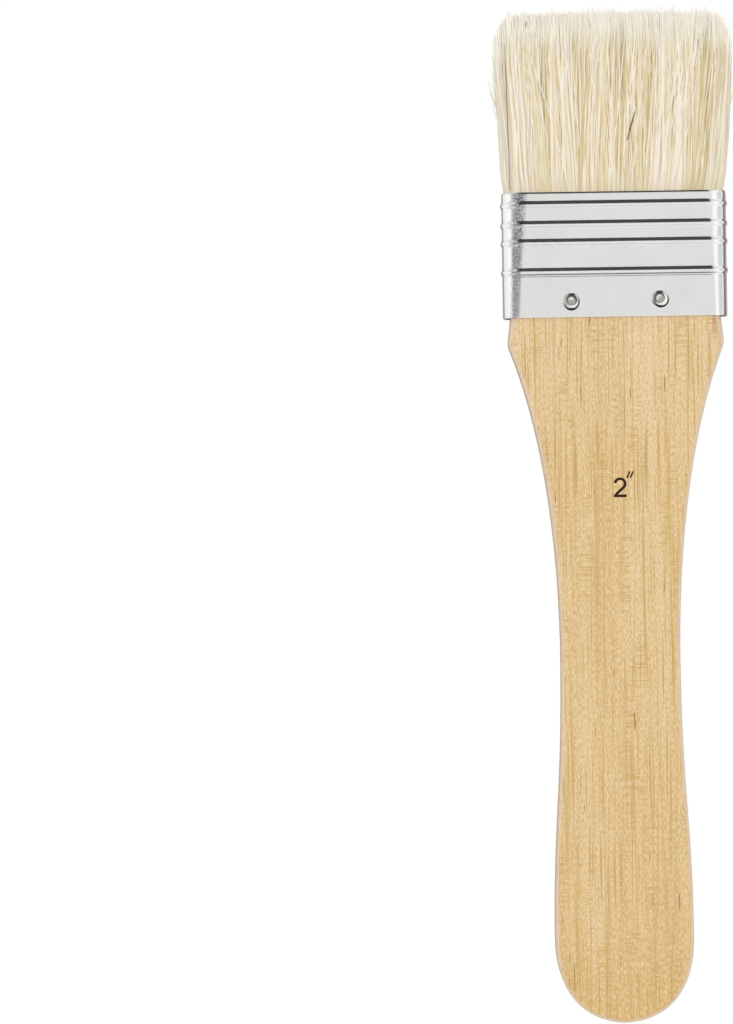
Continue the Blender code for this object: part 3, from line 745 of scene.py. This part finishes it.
def hair_mesh(name, lines, radii, tones):
    """One mesh of all the hairs: tapering four-sided tubes, closed at the root and the tip."""
    count, levels, _ = lines.shape
    taper = np.concatenate((np.linspace(1.0, HAIR_TAPER, levels - 1), (TIP_SHARE,)))
    turns = np.linspace(0.0, 2.0 * np.pi, HAIR_SIDES, endpoint=False) + np.pi / 4
    circle = np.stack((np.cos(turns), np.zeros(HAIR_SIDES), -np.sin(turns)), 1)
    thick = (radii[:, None] * taper)[:, :, None, None]
    points = (lines[:, :, None, :] + thick * circle).reshape(-1, 3)
    heights = np.concatenate(((0.0,), np.linspace(ROOT_ON_MAP, 1.0, levels - 1)))
    faces = []
    marks = []
    for ring in range(levels - 1):
        for side in range(HAIR_SIDES):
            following = (side + 1) % HAIR_SIDES
            low = ring * HAIR_SIDES
            high = low + HAIR_SIDES
            faces.append((low + side, low + following, high + following, high + side))
            marks.append(((side, ring), (side + 1, ring), (side + 1, ring + 1), (side, ring + 1)))
    for ring, order in ((0, (3, 2, 1, 0)), (levels - 1, (0, 1, 2, 3))):
        faces.append(tuple(ring * HAIR_SIDES + side for side in order))
        marks.append(tuple((side, ring) for side in order))
    first = (np.arange(count) * levels * HAIR_SIDES)[:, None, None]
    mesh = bpy.data.meshes.new(name)
    mesh.from_pydata(points.tolist(), [], (first + np.array(faces)).reshape(-1, 4).tolist())
    spots = hair_map(np.floor(tones * HAIR_COLUMNS), marks, heights)
    mesh.uv_layers.new(name=BAKE_MAP).data.foreach_set("uv", spots.ravel())
    flat_ends = np.zeros((count, len(faces)), bool)
    flat_ends[:, -2:] = True
    mesh.attributes.new("sharp_face", "BOOLEAN", "FACE").data.foreach_set("value", flat_ends.ravel())
    return mesh


def hair_map(columns, marks, heights):
    """Places on the hair's map: across by the hair's shade, up by the height along the hair."""
    marks = np.array(marks, float).reshape(-1, 2)
    across = COLUMN_MARGIN + (1.0 - 2.0 * COLUMN_MARGIN) * marks[:, 0] / HAIR_SIDES
    u = (columns[:, None] + across) / HAIR_COLUMNS
    v = np.broadcast_to(heights[marks[:, 1].astype(int)], u.shape)
    return np.stack((u, v), 2).reshape(-1, 2)


def build_hair(name, node, side, material):
    """One half of the hair, with the dark hairs on the front one."""
    draw = np.random.default_rng(HAIR_SEED + side)
    places = packing(HAIR_PITCH, side, draw)
    locks = packing(LOCK_PITCH, side, draw)
    lock = lock_numbers(places, locks)
    lines = hair_lines(places, locks, lock, draw)
    tones = hair_tones(places, locks, lock, draw)
    radii = HAIR_RADIUS * draw.uniform(*RADIUS_VARIES, len(lines))
    if side > 0:
        dark = dark_hair_lines(lines.shape[1])
        lines = np.concatenate((lines, dark))
        tones = np.concatenate((tones, np.full(len(dark), DARK_HAIR_TONE)))
        radii = np.concatenate((radii, [hair[0] for hair in DARK_HAIRS]))
    mesh = hair_mesh(name, lines, radii, tones)
    return add_piece(name, mesh, material, (node,))


# Size mark

def stroke(name, points, width, rise):
    """A printed stroke along points on the handle's face, with square ends."""
    points = np.array(points, float)
    along = np.gradient(points, axis=0)
    side = np.stack((-along[:, 1], along[:, 0]), 1)
    side *= width / 2 / np.linalg.norm(side, axis=1, keepdims=True)
    top = HANDLE_HALF_DEPTH + MIDDLE_Z + INK_PROUD + rise
    foot = HANDLE_HALF_DEPTH + MIDDLE_Z - INK_PROUD
    sections = []
    for spot, out in zip(points, side):
        left = spot + out
        right = spot - out
        sections.append([(*left, top), (*right, top), (*right, foot), (*left, foot)])
    return loft(name, np.array(sections) + (MARK_PLACE[0], MARK_PLACE[1], 0.0))


def build_size_mark(material):
    """The numeral two and an inch sign."""
    half = MARK_STROKE / 2
    radius = MARK_WIDTH / 2 - half
    centre = np.array((MARK_WIDTH / 2, MARK_HEIGHT - MARK_WIDTH / 2))
    angles = np.radians(np.linspace(*BOWL_TURN, BOWL_STEPS))
    bowl = centre + radius * np.stack((np.cos(angles), np.sin(angles)), 1)
    leave = bowl[-1] + (bowl[-1] - bowl[-2]) * NECK_LEAVE
    corner = np.array((half * NECK_FOOT, half))
    tail = bezier(bowl[-1], leave, corner + NECK_ARRIVE, corner, NECK_PITCH)[1:]
    foot = run((0.0, half), (MARK_WIDTH, half), 1)
    strokes = [
        (np.vstack((bowl, tail, corner)), MARK_STROKE),
        (np.vstack((foot, (MARK_WIDTH, half))), MARK_STROKE),
    ]
    for start in TICK_STARTS:
        tick = MARK_WIDTH + start
        top = (tick + TICK_RUN[0], MARK_HEIGHT + TICK_RUN[1])
        strokes.append((((tick, MARK_HEIGHT - TICK_BELOW), top), TICK_STROKE))
    shape = bmesh.new()
    for number, (points, width) in enumerate(strokes):
        mesh = stroke("stroke", points, width, number * INK_PROUD / 10)
        shape.from_mesh(mesh)
        bpy.data.meshes.remove(mesh)
    mesh = bpy.data.meshes.new("size_mark")
    shape.to_mesh(mesh)
    shape.free()
    return add_piece("size_mark", mesh, material)


# Materials

class Look:
    """A material in the making: a Principled shader and the nodes that feed it."""

    def __init__(self, name, settings):
        self.material = bpy.data.materials.new(name)
        self.material.use_nodes = True
        self.tree = self.material.node_tree
        self.shader = self.tree.nodes["Principled BSDF"]
        for socket, value in settings.items():
            self.shader.inputs[socket].default_value = value

    def node(self, kind, settings=None, inputs=None):
        """A node with its settings, its inputs either values or other nodes' outputs."""
        made = self.tree.nodes.new(kind)
        for key, value in (settings or {}).items():
            setattr(made, key, value)
        for key, value in (inputs or {}).items():
            self.feed(made.inputs[key], value)
        return made

    def feed(self, socket, value):
        """Set or link an input."""
        if isinstance(value, bpy.types.NodeSocket):
            self.tree.links.new(value, socket)
        else:
            socket.default_value = value

    def place(self):
        """A point's place on its own object."""
        return self.node("ShaderNodeTexCoord").outputs["Object"]

    def parts(self, vector):
        """The X, Y and Z of a vector."""
        return self.node("ShaderNodeSeparateXYZ", None, {0: vector}).outputs

    def facing(self):
        """The X, Y and Z of the way that the surface faces."""
        return self.parts(self.node("ShaderNodeNewGeometry").outputs["Normal"])

    def noise(self, scale, detail=2.0, roughness=0.5, shift=(0.0, 0.0, 0.0)):
        """Noise between 0 and 1, with its own scale along each axis, in cells a metre."""
        inputs = {"Vector": self.place(), "Scale": scale, "Location": shift}
        spot = self.node("ShaderNodeMapping", None, inputs).outputs["Vector"]
        inputs = {"Vector": spot, "Scale": 1.0, "Detail": detail, "Roughness": roughness}
        return self.node("ShaderNodeTexNoise", None, inputs).outputs["Fac"]

    def remap(self, value, low, high, to_low=0.0, to_high=1.0):
        """A value brought smoothly from one range to another."""
        inputs = {"Value": value, "From Min": low, "From Max": high, "To Min": to_low, "To Max": to_high}
        made = self.node("ShaderNodeMapRange", {"interpolation_type": "SMOOTHSTEP"}, inputs)
        return made.outputs["Result"]

    def math(self, operation, first, second=0.0):
        """A sum on two values."""
        return self.node("ShaderNodeMath", {"operation": operation}, {0: first, 1: second}).outputs["Value"]

    def times(self, first, second):
        """The product of two values."""
        return self.math("MULTIPLY", first, second)

    def mix(self, share, *colours):
        """A colour between two, each a node's output or red, green and blue."""
        mixed = self.node("ShaderNodeMix", {"data_type": "RGBA"})
        self.feed(mixed.inputs["Factor"], share)
        for socket, colour in zip((mixed.inputs[6], mixed.inputs[7]), colours):
            self.feed(socket, colour if isinstance(colour, bpy.types.NodeSocket) else (*colour, 1.0))
        return mixed.outputs[2]

    def ramp(self, share, stops):
        """A colour from a row of stops."""
        made = self.node("ShaderNodeValToRGB", None, {"Fac": share})
        elements = made.color_ramp.elements
        while len(elements) < len(stops):
            elements.new(1.0)
        for element, (position, colour) in zip(elements, stops):
            element.position = position
            element.color = (*colour, 1.0)
        return made.outputs["Color"]

    def bump(self, height, distance, strength=1.0):
        """Roughen the surface by a height between 0 and 1."""
        inputs = {"Height": height, "Distance": distance, "Strength": strength}
        self.shade("Normal", self.node("ShaderNodeBump", None, inputs).outputs["Normal"])

    def shade(self, socket, value):
        """Feed one of the shader's own inputs."""
        self.feed(self.shader.inputs[socket], value)


def wood_look(name, handled):
    """Pale straight-grained wood under a thin matt lacquer, on the handle with painted light on its rounded
    edges and a stain.
    """
    look = Look(name, WOOD_GLOSS)
    spot = look.parts(look.place())
    broad = look.noise(*WOOD_BROAD)
    colour = look.ramp(broad, WOOD_TONES)
    reach, most, tint = PALE_WOOD
    colour = look.mix(look.remap(spot["Y"], LOW_Y - reach, LOW_Y, 0.0, most), colour, tint)
    reach, most, tint = DARK_WOOD
    colour = look.mix(look.remap(spot["Y"], handle_low.y + reach, handle_low.y, 0.0, most), colour, tint)
    speckle = look.noise(*SPECKLE)
    for limits, most, tint in SPECKLE_TINTS:
        colour = look.mix(look.remap(speckle, *limits, 0.0, most), colour, tint)
    rays = look.remap(look.noise(*RAYS), *RAY_RANGE)
    patches = look.remap(look.noise(*RAY_PATCHES), *RAY_PATCH_RANGE)
    most, tint = RAY_TINT
    colour = look.mix(look.times(look.times(rays, patches), most), colour, tint)
    marks = {}
    for mark, (noise, limits, most, tint) in WOOD_MARKS.items():
        marks[mark] = look.remap(look.noise(*noise), *limits)
        colour = look.mix(look.times(marks[mark], most), colour, tint)
    if handled:
        facing = look.facing()
        flat = look.math("ABSOLUTE", facing["Z"])
        # painted light: a pale band on the rounded edges, more on the right
        edge_light = look.times(look.remap(flat, *EDGE_LIGHT_FROM_FACE), look.remap(flat, *EDGE_LIGHT_FROM_SIDE))
        colour = look.mix(look.times(edge_light, look.remap(facing["X"], *EDGE_LIGHT_MOST)), colour, EDGE_LIGHT_TINT)
        below = look.remap(look.math("SUBTRACT", LOW_Y, spot["Y"]), *STAIN_BELOW)
        aside = look.math("ABSOLUTE", look.math("SUBTRACT", spot["X"], STAIN_ACROSS))
        stain = look.times(look.remap(aside, *STAIN_ASIDE), below)
        colour = look.mix(look.times(stain, look.remap(speckle, *STAIN_SPECKLED)), colour, STAIN_TINT)
    look.shade("Base Color", colour)
    look.shade("Roughness", look.remap(broad, *WOOD_ROUGHNESS))
    look.bump(look.math("ADD", speckle, look.math("SUBTRACT", 0.0, marks["line"])), WOOD_BUMP)
    return look.material


def tin_look():
    """Bright tinplate, finely dimpled, with a painted dark reflection on its left bend, and rougher and
    painted dark as shade on its inner side.
    """
    look = Look("tinplate", {"Metallic": 1.0})
    spot = look.parts(look.place())
    facing = look.facing()
    outward_x = look.times(spot["X"], facing["X"])
    outward_z = look.times(look.math("SUBTRACT", spot["Z"], MIDDLE_Z), facing["Z"])
    outside = look.remap(look.math("ADD", outward_x, outward_z), *TIN_SIDES)
    down = look.math("SUBTRACT", MOUTH_Y, spot["Y"])
    edges = []
    # painted reflection: dark mottled dots across the left bend
    for edge, drift, soft in (DARK_REFLECTION_LEFT, DARK_REFLECTION_RIGHT):
        past = look.math("ADD", spot["X"], look.times(down, drift))
        edges.append(look.remap(past, edge - soft, edge + soft))
    dark_reflection = look.times(edges[0], look.math("SUBTRACT", 1.0, edges[1]))
    dark_reflection = look.times(dark_reflection, look.remap(down, *DARK_REFLECTION_FADE))
    dots = look.remap(look.noise(*DARK_REFLECTION_DOTS), *DARK_REFLECTION_RANGE)
    bright = look.ramp(look.noise(*TIN_CLOUD), TIN_TONES)
    bright = look.mix(look.times(dark_reflection, dots), bright, DARK_REFLECTION_TINT)
    # painted shade: the inner side is given the near-black colour
    look.shade("Base Color", look.mix(outside, TIN_INSIDE_SHADE, bright))
    look.shade("Roughness", look.remap(outside, 0.0, 1.0, *TIN_ROUGHNESS))
    look.bump(look.noise(*TIN_DIMPLES), TIN_DIMPLE_HEIGHT, look.remap(spot["X"], *TIN_DIMPLED))
    return look.material


def nail_look():
    """Plated steel with a dull flat crown, and painted shade round its foot and on the wall of its crown."""
    look = Look("nail_steel", {"Metallic": 1.0})
    spot = look.parts(look.place())
    facing = look.facing()
    crown = look.remap(look.math("ABSOLUTE", facing["Z"]), *CROWN_FLAT)
    grime = look.noise(*STEEL_GRIME)
    colour = look.mix(crown, look.ramp(grime, STEEL_BRIGHT), look.ramp(grime, STEEL_DULL))
    radius = look.math("SQRT", look.math("ADD", *[look.times(spot[axis], spot[axis]) for axis in "XY"]))
    # painted shade: dark round the head's foot, most on its lower side
    rim = look.remap(radius, *[NAIL_HEAD_RADIUS - inside for inside in RIM_SHADE_INSIDE])
    below = look.math("SUBTRACT", look.times(spot["X"], RIM_SHADE_LEAN), spot["Y"])
    colour = look.mix(look.times(rim, look.remap(below, *RIM_SHADE_BELOW)), colour, RIM_SHADE_TINT)
    # painted shade on the wall of the crown's hollow
    outward = look.math("ADD", *[look.times(spot[axis], facing[axis]) for axis in "XY"])
    colour = look.mix(look.remap(outward, *WALL_SHADE_INWARD), colour, WALL_SHADE_TINT)
    look.shade("Base Color", colour)
    look.shade("Roughness", look.remap(crown, 0.0, 1.0, *STEEL_ROUGHNESS))
    return look.material


def hair_look():
    """Natural hog hair: cream with painted shade, white, cream, tan and dark brown, with a darker foot and
    pale tips.
    """
    look = Look("bristle", HAIR_GLOSS)
    spot = look.parts(look.node("ShaderNodeUVMap", {"uv_map": BAKE_MAP}).outputs["UV"])
    tone = spot["X"]
    height = spot["Y"]
    colour = look.ramp(tone, HAIR_TONES)
    colour = look.mix(look.remap(height, *HAIR_FOOT), colour, HAIR_FOOT_TINT)
    pale = look.times(look.remap(height, *HAIR_TIP), look.remap(tone, *HAIR_TIP_MOST))
    look.shade("Base Color", look.mix(pale, colour, HAIR_TIP_TINT))
    return look.material


def resin_look():
    """Set amber resin, a little cloudy."""
    look = Look("resin", RESIN_GLOSS)
    cloud = look.noise(*RESIN_CLOUD)
    look.shade("Base Color", look.ramp(cloud, RESIN_TONES))
    look.bump(cloud, RESIN_BUMP)
    return look.material


def ink_look():
    """Dark brown printing ink, worn thin here and there."""
    look = Look("ink", INK_GLOSS)
    look.shade("Base Color", look.ramp(look.noise(*INK_WEAR), INK_TONES))
    return look.material


# Studio

def build_camera():
    """A camera above the middle of the photograph, turned by the brush's lean."""
    data = bpy.data.cameras.new("camera")
    data.sensor_width = SENSOR
    data.lens = SENSOR * CAMERA_DISTANCE / FRAME_HEIGHT
    data.clip_end = CLIP_END
    camera = bpy.data.objects.new("camera", data)
    bpy.context.scene.collection.objects.link(camera)
    pixel = FRAME_HEIGHT / PHOTO_HEIGHT
    offset = (PHOTO_WIDTH / 2 - AXIS_COLUMN) * pixel
    camera.location = (offset, FRAME_CENTRE_Y, MIDDLE_Z + CAMERA_DISTANCE)
    camera.rotation_euler = (0.0, 0.0, -BRUSH_LEAN)
    bpy.context.scene.camera = camera


def tree_math(tree, operation, first, second):
    """A sum on two values or outputs of a node tree."""
    made = tree.nodes.new("ShaderNodeMath")
    made.operation = operation
    for socket, value in zip(made.inputs, (first, second)):
        if isinstance(value, bpy.types.NodeSocket):
            tree.links.new(value, socket)
        else:
            socket.default_value = value
    return made.outputs["Value"]


def window(tree, value, low, high, soft):
    """1 where a value is between two limits, falling off softly outside."""
    edges = []
    for start, end in ((low - soft, low), (high + soft, high)):
        edge = tree.nodes.new("ShaderNodeMapRange")
        edge.interpolation_type = "SMOOTHSTEP"
        tree.links.new(value, edge.inputs["Value"])
        edge.inputs["From Min"].default_value = start
        edge.inputs["From Max"].default_value = end
        edges.append(edge.outputs["Result"])
    return tree_math(tree, "MULTIPLY", *edges)


def blend(tree, share, first, second):
    """A shader between two."""
    made = tree.nodes.new("ShaderNodeMixShader")
    for socket, output in zip(made.inputs, (share, first, second)):
        tree.links.new(output, socket)
    return made.outputs[0]


def floor_mesh():
    """A wide flat face under the brush, through its rear nail heads and the end of its handle."""
    nail_low, nail_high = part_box("rear_nail_left")
    nail_y = (nail_low.y + nail_high.y) / 2
    end_y = handle_low.y + HANDLE_EDGE
    slope = (handle_low.z - nail_low.z) / (end_y - nail_y)
    mesh = bpy.data.meshes.new("floor")
    corners = []
    for x, y in ((-1, -1), (1, -1), (1, 1), (-1, 1)):
        corners.append((x * FLOOR_HALF, y * FLOOR_HALF, nail_low.z + (y * FLOOR_HALF - nail_y) * slope))
    mesh.from_pydata(corners, [], [(0, 1, 2, 3)])
    return mesh


def floor_look():
    """White to the eye with a faint shadow, grey to the light it throws back, and with painted shadow strips
    beside the brush in metal.
    """
    material = bpy.data.materials.new("floor")
    material.use_nodes = True
    tree = material.node_tree
    tree.nodes.clear()
    plain = tree.nodes.new("ShaderNodeBsdfDiffuse")
    plain.inputs["Color"].default_value = (FLOOR_GREY, FLOOR_GREY, FLOOR_GREY, 1.0)
    shaded = tree.nodes.new("ShaderNodeBsdfDiffuse")
    shaded.inputs["Color"].default_value = (FLOOR_SEEN, FLOOR_SEEN, FLOOR_SEEN, 1.0)
    glow = tree.nodes.new("ShaderNodeEmission")
    glow.inputs["Strength"].default_value = FLOOR_GLOW
    unlit = tree.nodes.new("ShaderNodeEmission")
    unlit.inputs["Strength"].default_value = 0.0
    white = tree.nodes.new("ShaderNodeAddShader")
    tree.links.new(shaded.outputs[0], white.inputs[0])
    tree.links.new(glow.outputs[0], white.inputs[1])
    spot = tree.nodes.new("ShaderNodeSeparateXYZ")
    tree.links.new(tree.nodes.new("ShaderNodeNewGeometry").outputs["Position"], spot.inputs[0])
    rays = tree.nodes.new("ShaderNodeLightPath").outputs
    dark = 0.0
    # painted shadow on the floor beside the brush, seen only in reflections
    for low, high, depth in FLOOR_SHADOW_STRIPS:
        strip = window(tree, spot.outputs["X"], low, high, FLOOR_SHADOW_SOFT)
        dark = tree_math(tree, "ADD", dark, tree_math(tree, "MULTIPLY", strip, depth))
    dark = tree_math(tree, "MULTIPLY", dark, rays["Is Glossy Ray"])
    seen = rays["Is Camera Ray"]
    for name in ("Is Glossy Ray", "Is Transmission Ray"):
        seen = tree_math(tree, "MAXIMUM", seen, rays[name])
    shadow_striped = blend(tree, dark, white.outputs[0], unlit.outputs[0])
    output = tree.nodes.new("ShaderNodeOutputMaterial")
    tree.links.new(blend(tree, seen, plain.outputs[0], shadow_striped), output.inputs["Surface"])
    return material


def build_floor():
    """A pale floor that the brush rests on, with its nail heads and the end of its handle."""
    mesh = floor_mesh()
    mesh.materials.append(floor_look())
    floor = bpy.data.objects.new("floor", mesh)
    bpy.context.scene.collection.objects.link(floor)


def build_sun():
    """A narrow light from nearly straight above, which metal doesn't show."""
    data = bpy.data.lights.new("sun", "SUN")
    data.energy = SUN_STRENGTH
    data.angle = SUN_ANGLE
    sun = bpy.data.objects.new("sun", data)
    bpy.context.scene.collection.objects.link(sun)
    sun.rotation_euler = SUN_TURN
    sun.visible_glossy = False


def build_world():
    """White all round to the eye, with soft dark and light cards that only metal shows."""
    world = bpy.data.worlds.new("studio")
    world.use_nodes = True
    bpy.context.scene.world = world
    tree = world.node_tree
    background = tree.nodes["Background"]
    parts = tree.nodes.new("ShaderNodeSeparateXYZ")
    tree.links.new(tree.nodes.new("ShaderNodeTexCoord").outputs["Generated"], parts.inputs[0])
    tone = SKY_TONE
    for across, along, depth in CARDS:
        sides = (window(tree, parts.outputs["X"], *across), window(tree, parts.outputs["Y"], *along))
        dark = tree_math(tree, "MULTIPLY", tree_math(tree, "MULTIPLY", *sides), depth)
        tone = tree_math(tree, "MULTIPLY", tone, tree_math(tree, "SUBTRACT", 1.0, dark))
    rays = tree.nodes.new("ShaderNodeLightPath").outputs
    shown = tree_math(tree, "MULTIPLY", rays["Is Glossy Ray"], tone)
    clear = tree_math(tree, "MAXIMUM", rays["Is Camera Ray"], rays["Is Transmission Ray"])
    plain = tree_math(tree, "SUBTRACT", 1.0, tree_math(tree, "MAXIMUM", rays["Is Glossy Ray"], clear))
    lit = tree_math(tree, "MULTIPLY", plain, AMBIENT)
    strength = tree_math(tree, "ADD", tree_math(tree, "ADD", shown, clear), lit)
    tree.links.new(strength, background.inputs["Strength"])
    background.inputs["Color"].default_value = (1.0, 1.0, 1.0, 1.0)


def dress_node(name, material):
    """Give a frame node that stays in view its material."""
    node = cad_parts[name]
    node.data.materials.clear()
    node.data.materials.append(material)


bpy.context.scene.view_settings.view_transform = "Standard"
build_camera()
build_floor()
build_sun()
build_world()

build_handle(wood_look("wood", True))
build_ferrule(tin_look())
nail_steel = nail_look()
for nail, shift in NAIL_CROWN_SHIFTS.items():
    build_nail(nail, shift, nail_steel)
bristle = hair_look()
build_hair("hair_front", "bristles_front", 1, bristle)
build_hair("hair_rear", "bristles_rear", -1, bristle)
build_size_mark(ink_look())
dress_node("spacer_plug", wood_look("plug_wood", False))
dress_node("resin_set", resin_look())
